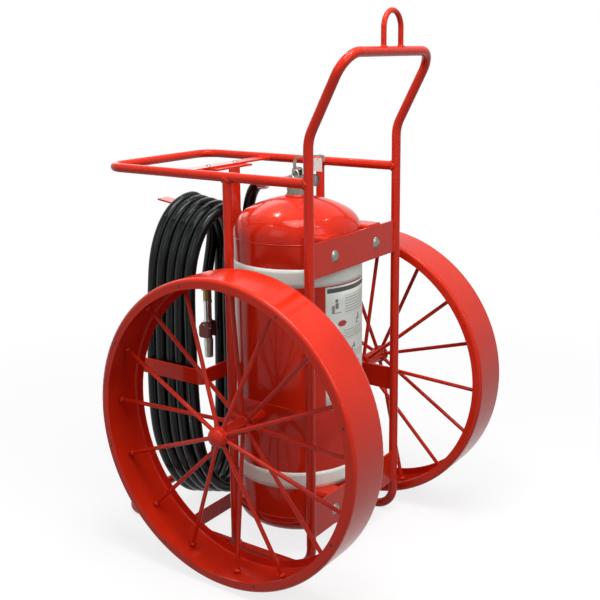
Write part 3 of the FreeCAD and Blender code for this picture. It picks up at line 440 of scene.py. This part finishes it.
hose = {"radius": 0.019, "half": 0.170, "turns": 5, "far": 0.966,
        "base": (0.350, 0.283, 0.009), "crown": (0.7616, 0.2694, 0.0055),
        "cut": 1.0346, "wider": (-0.003, 0.0, -0.003, 0.002, 0.0),
        "sway": ((0.264, 0.255, 0.242, 0.232, 0.237, 0.2555, 0.2665),
                 (0.267, 0.263, 0.256, 0.241, 0.254, 0.272, 0.298)),
        "step": ((0.039, 0.0405, 0.039, 0.037, 0.038, 0.0387, 0.0427),
                 (0.0378, 0.038, 0.038, 0.038, 0.038, 0.038, 0.039)),
        "parted": (0.0, 0.0, 0.0, 0.0, 0.003, 0.010, 0.0083),
        "lead": [(0.03883, 0.11130, 1.12070), (0.04551, 0.13806, 1.11583), (0.05218, 0.16481, 1.09597),
                 (0.05611, 0.18058, 1.06811), (0.061, 0.19715, 1.022), (0.064, 0.19915, 0.959),
                 (0.080, 0.20715, 0.819), (0.122, 0.22815, 0.659), (0.158, 0.24815, 0.529),
                 (0.169, 0.260, 0.430)],
        "tail": [(0.058, 0.397, 1.040), (0.103, 0.4035, 0.990), (0.125, 0.40515, 0.926),
                 (0.115, 0.40615, 0.864),
                 (0.097, 0.40515, 0.802), (0.086, 0.40415, 0.762), (0.085, 0.40415, 0.726)]}


def hoseRoute():
    # each turn rises on the near side, crosses the hook and comes down on the far side,
    # and the turns next to the cart are shorter than the outer ones
    points = [Vector(point) for point in hose["lead"]]
    for turn in range(hose["turns"]):
        for half, (centre, height, longer) in enumerate((hose["base"], hose["crown"])):
            for step in range(7):
                if turn == hose["turns"] - 1 and half == 1 and step > 3:
                    continue
                angle = math.pi * (half + step / 6)
                spread = hose["cut"] if 0 < step < 6 else 1.0
                width = hose["half"] + hose["wider"][turn]
                x = width * math.cos(angle) * spread
                x = x * hose["far"] if x > 0 else x
                y = hose["sway"][half][step] + hose["step"][half][step] * turn
                z = centre - math.sin(angle) * (height + longer * turn) * spread
                if turn == 0 and half == 0:
                    y -= hose["parted"][step]
                points.append(Vector((x, y, z)))
    return points + [Vector(point) for point in hose["tail"]]


def layCurve(name, route):
    data = bpy.data.curves.new(name, "CURVE")
    data.dimensions = "3D"
    spline = data.splines.new("NURBS")
    spline.points.add(len(route) - 1)
    for place, point in zip(spline.points, route):
        place.co = (*point, 1.0)
    spline.order_u = 3
    spline.use_endpoint_u = True
    spline.resolution_u = 8
    return data


def curveLength(route):
    bare = layCurve("hoseLine", route)
    probe = bpy.data.objects.new("hoseLine", bare)
    mesh = bpy.data.meshes.new_from_object(probe)
    spots = [vertex.co.copy() for vertex in mesh.vertices]
    bpy.data.objects.remove(probe)
    bpy.data.curves.remove(bare)
    bpy.data.meshes.remove(mesh)
    return sum((b - a).length for a, b in zip(spots, spots[1:]))


def addHose():
    route = hoseRoute()
    data = layCurve("hose", route)
    data.bevel_depth = hose["radius"]
    data.bevel_resolution = 7
    data.use_fill_caps = True
    data.materials.append(finishes["rubber"])
    piece = bpy.data.objects.new("hose", data)
    bpy.context.scene.collection.objects.link(piece)
    length = curveLength(route)
    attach(piece, "cart")
    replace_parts(piece, "hose_lead", "hose_coil", "hose_tail")
    print("stage: hose laid,", round(length, 2), "m")


addHose()

# hook: a flat bar that climbs from the strap to its tip

hook = {"root": 1.0035, "tip": 1.0455, "wall": 0.006, "edge": 0.0012}


def hookForm(form):
    low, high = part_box("hose_hook")
    corners = []
    for y, top in ((low.y, hook["root"]), (high.y, hook["tip"])):
        for x in (low.x, high.x):
            corners.append([form.verts.new((x, y, z)) for z in (top - hook["wall"], top)])
    (a, b), (c, d), (e, f), (g, h) = corners
    for loop in ((a, b, d, c), (e, g, h, f), (a, c, g, e), (b, f, h, d), (a, e, f, b), (c, d, h, g)):
        form.faces.new(loop)
    bmesh.ops.bevel(form, geom=form.edges[:], offset=hook["edge"], segments=2, affect="EDGES")


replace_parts(addMesh("hookBar", hookForm, "enamel", "cart", False), "hose_hook")

# valve spring: a plain copy of the spring part with its transform baked in, attached to no body


def addSpring():
    piece = addMesh("valveSpring", lambda form: form.from_mesh(nodes["valve_spring"].data), "spring", None)
    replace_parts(piece, "valve_spring")
    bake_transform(piece)


addSpring()

# bands, panel and seams on the cylinder

tankLow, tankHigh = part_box("cylinder_shell")
tank = {"centre": Vector(((tankLow.x + tankHigh.x) / 2, (tankLow.y + tankHigh.y) / 2, 0)),
        "radius": (tankHigh.x - tankLow.x) / 2, "skin": 0.0006,
        "bands": (("upperBand", 0.8516, 0.9071), ("lowerBand", 0.218, 0.2717)),
        "panel": (0.464, 0.848), "panelHalf": 31.5,
        "seams": (("shoulderSeam", 0.9785), ("baseSeam", 0.121))}


def wrap(form, low, high, start, end, columns, rows, skin):
    grid = []
    chart = form.loops.layers.uv.new("chart")
    for row in range(rows + 1):
        z = low + (high - low) * row / rows
        line = []
        for column in range(columns + 1):
            angle = start + (end - start) * column / columns
            radius = tank["radius"] + skin
            spot = Vector((radius * math.sin(angle), -radius * math.cos(angle), z))
            line.append(form.verts.new(tank["centre"] + spot))
        grid.append(line)
    for row in range(rows):
        for column in range(columns):
            face = form.faces.new((grid[row][column], grid[row][column + 1],
                                   grid[row + 1][column + 1], grid[row + 1][column]))
            corners = ((column, row), (column + 1, row), (column + 1, row + 1), (column, row + 1))
            for loop, (u, v) in zip(face.loops, corners):
                loop[chart].uv = (u / columns, v / rows)


def addBands():
    for name, low, high in tank["bands"]:
        piece = addMesh(name, lambda form: wrap(form, low, high, -math.pi, math.pi, 160, 4, tank["skin"]),
                        "tape", "cart")
        thicken(piece, 0.0005)


def thicken(piece, depth):
    solid = piece.modifiers.new("wall", "SOLIDIFY")
    solid.thickness = depth
    solid.offset = -1.0


panel = {"ink": tone(0.035, 0.035, 0.035), "paper": tone(0.80, 0.85, 0.79),
         "header": (0.03, 0.985, 0.952, 0.985),
         "marks": ((0.10, 0.26, 0.79, 0.90), (0.60, 0.72, 0.66, 0.74), (0.48, 0.60, 0.45, 0.51),
                   (0.62, 0.76, 0.28, 0.35), (0.30, 0.44, 0.25, 0.33)),
         "red": (0.19, 0.37, 0.665, 0.720),
         "rules": ((0.34, 0.92, 0.76, 0.91, 0.022), (0.30, 0.90, 0.55, 0.63, 0.02),
                   (0.40, 0.92, 0.38, 0.43, 0.02),
                   (0.12, 0.52, 0.10, 0.20, 0.022), (0.58, 0.92, 0.08, 0.22, 0.022))}


def makePanel(name):
    finish = Finish(name)
    finish.shader.inputs["Specular IOR Level"].default_value = 0.45
    u, v = finish.chart()

    def patch(left, right, low, high, soft=0.004):
        return u.within(left, right, soft) * v.within(low, high, soft)

    colour = finish.blend(panel["paper"], tape["shade"], finish.noise(22.0, 4.0).above(0.5, 0.8) * 0.4)
    border = 1 - patch(0.015, 0.985, 0.008, 0.992, 0.002)
    colour = finish.blend(colour, tone(0.72, 0.76, 0.71), border)
    ink = patch(*panel["header"])
    for left, right, low, high in panel["marks"]:
        centreU = (left + right) / 2
        tall = high - low
        head = ((u - centreU) ** 2.0 * 3.0 + (v - (high - tall * 0.16)) ** 2.0 * 9.0) ** 0.5
        ink = ink + (1 - head.above(tall * 0.36, tall * 0.44)) * 0.8
        ink = ink + patch(centreU - 0.020, centreU + 0.030, low + tall * 0.28, high - tall * 0.34) * 0.8
        ink = ink + patch(left, centreU - 0.034, low, low + tall * 0.5) * 0.7
        ink = ink + patch(left, right, low - 0.008, low - 0.003, 0.002) * 0.6
    colour = finish.blend(colour, panel["ink"], ink)
    for left, right, low, high, gap in panel["rules"]:
        bars = (v / gap).fold().within(0.25, 0.55, 0.08)
        ragged = u.within(left, right - 0.05, 0.01)
        dashes = (u * 19.0 + u.maths("FLOOR", v / gap) * 0.37).fold().above(0.12, 0.26)
        lines = bars * ragged * dashes * v.within(low, high, 0.002)
        colour = finish.blend(colour, tone(0.16, 0.17, 0.16), lines * 0.75)
    left, right, low, high = panel["red"]
    across = (u - (left + right) / 2) * (2 / (right - left))
    along = (v - (low + high) / 2) * (2 / (high - low))
    spread = across ** 2.0 + along ** 2.0
    colour = finish.blend(colour, tone(0.45, 0.03, 0.03), 1 - spread.above(0.7, 0.9))
    wrinkle = finish.noise(45.0, 3.0)
    finish.feed(Base_Color=colour, Roughness=0.3 + wrinkle * 0.2, Normal=finish.bump(wrinkle, 0.0005, 0.3))
    return finish.material


def addPanel():
    finishes["panel"] = makePanel("panelSheet")
    half = math.radians(tank["panelHalf"])
    low, high = tank["panel"]
    piece = addMesh("infoPanel", lambda form: wrap(form, low, high, -half, half, 40, 8, tank["skin"]),
                    "panel", "cart")
    thicken(piece, 0.0004)


def seamRadius(t):
    return 0.0026 + 0.0002 * math.sin(t * 2 * math.pi * 150)


def addSeams():
    for name, height in tank["seams"]:
        path = ringPath(tank["centre"] + Vector((0, 0, height)), Vector((1, 0, 0)), Vector((0, 1, 0)),
                        tank["radius"] - 0.0012, 360)
        addMesh(name, lambda form: sweep(form, path, seamRadius, 8, True),
                "tankEnamel", "cart")


addBands()
addPanel()
addSeams()
print("stage: cylinder dressed")

# weld beads where the frame's tubes and bars meet

tube = {"radius": 0.0143, "half": 0.244, "handleZ": 1.531, "eyeRod": 0.008, "plateWall": 0.006}
postLow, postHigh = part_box("front_posts")
railLow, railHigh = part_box("bumper_rail")
frontY = (postLow.y + postHigh.y) / 2
railZ = (railLow.z + railHigh.z) / 2
plateLow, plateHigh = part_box("upper_cross_plate")
rearY = (plateLow.y + plateHigh.y) / 2
eyeLow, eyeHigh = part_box("lifting_eye")
handleY = (eyeLow.y + eyeHigh.y) / 2
weld = {"size": 0.0036, "thin": 0.003, "ripple": 0.16, "pitch": 0.0042}


def weldBead(form, path, closed=False, size=None):
    size = size or weld["size"]
    length = sum((b - a).length for a, b in zip(path, path[1:]))
    waves = max(3, round(length / weld["pitch"]))
    start = random.random() * 6.0

    def radiusAt(t):
        swell = math.sin(t * 2 * math.pi * waves) * weld["ripple"]
        drift = math.sin(t * 2 * math.pi * 3 + start) * 0.12
        return size * (1 + swell + drift)

    fine = []
    steps = max(2, waves * 6 // max(1, len(path) - (0 if closed else 1)))
    count = len(path) if closed else len(path) - 1
    for index in range(count):
        first, second = path[index], path[(index + 1) % len(path)]
        fine.extend(first.lerp(second, step / steps) for step in range(steps))
    if not closed:
        fine.append(path[-1])
    sweep(form, fine, radiusAt, 8, closed)


def saddle(centre, along, onto, radius, reach, count=28):
    # where a tube of that radius, running along one way, lands on a tube of the other radius
    side = along.cross(onto).normalized()
    other = along.normalized()
    points = []
    for step in range(count):
        angle = 2 * math.pi * step / count
        across = radius * math.cos(angle)
        run = radius * math.sin(angle)
        depth = math.sqrt(max(0.0, reach * reach - across * across))
        points.append(centre + side * across + onto.normalized() * run + other * depth)
    return points


def frameWelds(form):
    r = tube["radius"]
    up, ahead, right = Vector((0, 0, 1)), Vector((0, 1, 0)), Vector((1, 0, 0))
    for side in (-1, 1):
        x = side * tube["half"]
        weldBead(form, saddle(Vector((x, frontY, railZ)), -up, ahead, r, r), True)
        weldBead(form, saddle(Vector((x, frontY, r)), up, ahead, r, r), True)
        weldBead(form, saddle(Vector((x, rearY, railZ)), ahead, up, r, r), True)
        eyeX = side * (eyeHigh.x - tube["eyeRod"])
        eyeFoot = Vector((eyeX, handleY, tube["handleZ"]))
        weldBead(form, saddle(eyeFoot, up, right, tube["eyeRod"], r, 20), True, weld["thin"])
        for plate in ("upper_cross_plate", "lower_cross_plate"):
            low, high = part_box(plate)
            for face in (low.y, high.y):
                edge = math.sqrt(r * r - (face - rearY) ** 2)
                inner = side * (tube["half"] - edge)
                weldBead(form, [Vector((inner, face, low.z + 0.002)), Vector((inner, face, high.z - 0.002))])
        low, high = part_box("axle_plates")
        for face in (side * (high.x - tube["plateWall"]), side * high.x):
            for post, way in ((rearY, 1), (frontY, -1)):
                y = post + way * (r - 0.0003)
                ends = [Vector((face, y, low.z + 0.002)), Vector((face, y, high.z - 0.002))]
                weldBead(form, ends, size=weld["thin"])
        low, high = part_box("hose_crossbar")
        for face in (low.z, high.z):
            edge = math.sqrt(max(0.0, r * r - (face - railZ) ** 2))
            inner = side * (tube["half"] - edge)
            weldBead(form, [Vector((inner, low.y + 0.002, face)), Vector((inner, high.y - 0.002, face))])
    low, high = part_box("hose_hook")
    for face in (hook["root"] - hook["wall"], hook["root"]):
        ends = [Vector((low.x + 0.002, low.y, face)), Vector((high.x - 0.002, low.y, face))]
        weldBead(form, ends, size=weld["thin"])


addMesh("frameWelds", frameWelds, "enamel", "cart")
print("stage: welds made")

# wheels: spoke roots, and flat dark discs of painted shade where the rim holes are

wheel = {"hole": 0.0042, "holeReach": 0.4385, "holes": 8, "holeTurn": 6.5, "capSpread": 1.18, "collarSides": 14}


def wheelFrame(name):
    low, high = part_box("wheel_rim_" + name)
    return (low + high) / 2, high.x - low.x


def spokeRoots(form, name):
    # a weld collar round both ends of every spoke, from the spoke's own shape
    node = nodes["wheel_spokes_" + name]
    centre = wheelFrame(name)[0]
    sides = wheel["collarSides"]
    mesh = bmesh.new()
    mesh.from_mesh(node.data)
    bmesh.ops.remove_doubles(mesh, verts=mesh.verts, dist=0.00001)
    seen = set()
    for vertex in mesh.verts:
        if vertex.index in seen:
            continue
        group, queue = [], [vertex]
        seen.add(vertex.index)
        while queue:
            current = queue.pop()
            group.append(current.co.copy())
            for edge in current.link_edges:
                other = edge.other_vert(current)
                if other.index not in seen:
                    seen.add(other.index)
                    queue.append(other)
        reach = sorted(group, key=lambda p: math.hypot(p.y - centre.y, p.z - centre.z))
        inner = sum(reach[:len(reach) // 2], Vector()) / (len(reach) // 2)
        outer = sum(reach[-(len(reach) // 2):], Vector()) / (len(reach) // 2)
        heading = (outer - inner).normalized()
        side = heading.orthogonal().normalized()
        other = heading.cross(side)
        for spot, way in ((inner + heading * 0.0005, 1), (outer - heading * 0.001, -1)):
            rings = []
            for depth, radius in ((-0.001, 0.0115), (0.002, 0.0102), (0.0045, 0.0082), (0.007, 0.0065)):
                rings.append([form.verts.new(spot + heading * way * depth
                                             + (side * math.cos(a) + other * math.sin(a)) * radius
                                             * (1 + 0.07 * math.sin(3 * a + spot.x * 900)))
                              for a in (2 * math.pi * step / sides for step in range(sides))])
            for first, second in zip(rings, rings[1:]):
                for step in range(sides):
                    after = (step + 1) % sides
                    form.faces.new((first[step], first[after], second[after], second[step]))
            form.faces.new(rings[0])
            form.faces.new(rings[-1])
    mesh.free()


# the rim holes are not cut: each is a flat dark disc on the rim face, painted shade for the dark inside of a
# hole
def rimHoleShade(form, name, side):
    centre, width = wheelFrame(name)
    face = centre.x + side * (width / 2 + 0.0001)
    for index in range(wheel["holes"]):
        angle = math.radians(wheel["holeTurn"] + 22.5 + index * 360 / wheel["holes"])
        middle = Vector((face, centre.y + wheel["holeReach"] * math.cos(angle),
                         centre.z + wheel["holeReach"] * math.sin(angle)))
        rim = [form.verts.new(middle + Vector((0, math.cos(a), math.sin(a))) * wheel["hole"])
               for a in (2 * math.pi * step / 16 for step in range(16))]
        deep = [form.verts.new(vertex.co + Vector((side * 0.0002, 0, 0))) for vertex in rim]
        for step in range(16):
            form.faces.new((rim[step], rim[(step + 1) % 16], deep[(step + 1) % 16], deep[step]))
        form.faces.new(deep)
        form.faces.new(rim)


def hubCap(form, name):
    # the dome stands a little wider than the solid one and just as far out
    centre = wheelFrame(name)[0]
    form.from_mesh(nodes["hub_cap_" + name].data)
    for vertex in form.verts:
        vertex.co.y = centre.y + (vertex.co.y - centre.y) * wheel["capSpread"]
        vertex.co.z = centre.z + (vertex.co.z - centre.z) * wheel["capSpread"]


for wheelName, wheelSide in (("left", -1), ("right", 1)):
    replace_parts(addMesh("hubDome_" + wheelName, lambda form: hubCap(form, wheelName), "wheelEnamel",
                        "wheel_" + wheelName), "hub_cap_" + wheelName)
    addMesh("spokeWelds_" + wheelName, lambda form: spokeRoots(form, wheelName), "wheelEnamel",
            "wheel_" + wheelName)
    # dark discs of painted shade at the rim holes
    addMesh("rimHoleShade_" + wheelName, lambda form: rimHoleShade(form, wheelName, wheelSide), "dark",
            "wheel_" + wheelName, False)
print("stage: wheels dressed")

# floor, world and lamps

stageSet = {"floorGrey": 0.24, "floorNear": (0.80, 1.1), "floorFar": (1.0, 2.6), "around": 0.20,
            "lamps": (("overhead", (-0.5, -0.6, 3.6), (0, 0, 0.6), 1.7, 84.0),
                      ("rear", (-1.2, -3.7, 3.3), (0, 0, 0.7), 2.0, 52.0),
                      ("side", (-3.9, 0.2, 3.0), (0, 0, 0.7), 1.8, 20.0),
                      ("front", (2.6, 3.6, 2.8), (0, 0, 0.8), 2.4, 26.0)),
            "spots": ((-1.5, -1.3), (-0.2, -1.9), (1.1, -0.9), (-1.6, 0.9), (0.6, 1.2), (-0.7, -0.3)),
            "spotHeight": 3.3, "spotSize": 0.11, "spotPower": 5.0}


def seenDirectly(tree):
    path = tree.nodes.new("ShaderNodeLightPath")
    total = None
    for ray in ("Is Camera Ray", "Is Glossy Ray", "Is Transmission Ray"):
        if total is None:
            total = path.outputs[ray]
            continue
        add = tree.nodes.new("ShaderNodeMath")
        add.operation = "ADD"
        add.use_clamp = True
        tree.links.new(total, add.inputs[0])
        tree.links.new(path.outputs[ray], add.inputs[1])
        total = add.outputs[0]
    return total


def addFloor():
    form = bmesh.new()
    bmesh.ops.create_grid(form, x_segments=2, y_segments=2, size=60.0)
    data = bpy.data.meshes.new("floor")
    form.to_mesh(data)
    form.free()
    floor = bpy.data.objects.new("floor", data)
    floor.location = (0, 0, cadBox[0][2] - 0.0002)
    bpy.context.scene.collection.objects.link(floor)
    material = bpy.data.materials.new("floorPale")
    material.use_nodes = True
    tree = material.node_tree
    tree.nodes.clear()
    output = tree.nodes.new("ShaderNodeOutputMaterial")
    plain = tree.nodes.new("ShaderNodeBsdfDiffuse")
    plain.inputs[0].default_value = (stageSet["floorGrey"],) * 3 + (1.0,)
    bright = tree.nodes.new("ShaderNodeEmission")
    bright.inputs[0].default_value = (1, 1, 1, 1)
    lit = tree.nodes.new("ShaderNodeBsdfDiffuse")
    lit.inputs[0].default_value = (1.0, 1.0, 1.0, 1.0)
    seen = tree.nodes.new("ShaderNodeMixShader")
    place = tree.nodes.new("ShaderNodeTexCoord")
    away = tree.nodes.new("ShaderNodeVectorMath")
    away.operation = "LENGTH"
    # the shadow shows near the cart, and far off the floor is plain white
    fade = tree.nodes.new("ShaderNodeMapRange")
    for name, value in (("From Min", stageSet["floorNear"][1]), ("From Max", stageSet["floorFar"][1]),
                        ("To Min", stageSet["floorNear"][0]), ("To Max", stageSet["floorFar"][0])):
        fade.inputs[name].default_value = value
    tree.links.new(place.outputs[3], away.inputs[0])
    tree.links.new(away.outputs["Value"], fade.inputs["Value"])
    tree.links.new(fade.outputs[0], seen.inputs[0])
    tree.links.new(lit.outputs[0], seen.inputs[1])
    tree.links.new(bright.outputs[0], seen.inputs[2])
    choose = tree.nodes.new("ShaderNodeMixShader")
    tree.links.new(seenDirectly(tree), choose.inputs[0])
    tree.links.new(plain.outputs[0], choose.inputs[1])
    tree.links.new(seen.outputs[0], choose.inputs[2])
    tree.links.new(choose.outputs[0], output.inputs[0])
    data.materials.append(material)


def addWorld():
    world = bpy.data.worlds.new("studio")
    bpy.context.scene.world = world
    world.use_nodes = True
    tree = world.node_tree
    tree.nodes.clear()
    output = tree.nodes.new("ShaderNodeOutputWorld")
    soft = tree.nodes.new("ShaderNodeBackground")
    soft.inputs[0].default_value = (1, 1, 1, 1)
    soft.inputs[1].default_value = stageSet["around"]
    white = tree.nodes.new("ShaderNodeBackground")
    white.inputs[0].default_value = (1, 1, 1, 1)
    white.inputs[1].default_value = 1.0
    choose = tree.nodes.new("ShaderNodeMixShader")
    tree.links.new(seenDirectly(tree), choose.inputs[0])
    tree.links.new(soft.outputs[0], choose.inputs[1])
    tree.links.new(white.outputs[0], choose.inputs[2])
    tree.links.new(choose.outputs[0], output.inputs[0])


def addLamps():
    height, width, watts = stageSet["spotHeight"], stageSet["spotSize"], stageSet["spotPower"]
    spots = tuple(("spot", (x, y, height), (x, y, 0), width, watts) for x, y in stageSet["spots"])
    for name, place, aim, size, power in stageSet["lamps"] + spots:
        data = bpy.data.lights.new(name, "AREA")
        data.energy = power
        data.size = size
        lamp = bpy.data.objects.new(name, data)
        lamp.location = place
        lamp.rotation_euler = (Vector(aim) - Vector(place)).to_track_quat("-Z", "Y").to_euler()
        bpy.context.scene.collection.objects.link(lamp)


addFloor()
addWorld()
addLamps()
bpy.context.scene.view_settings.view_transform = "Standard"
print("stage: lights set")
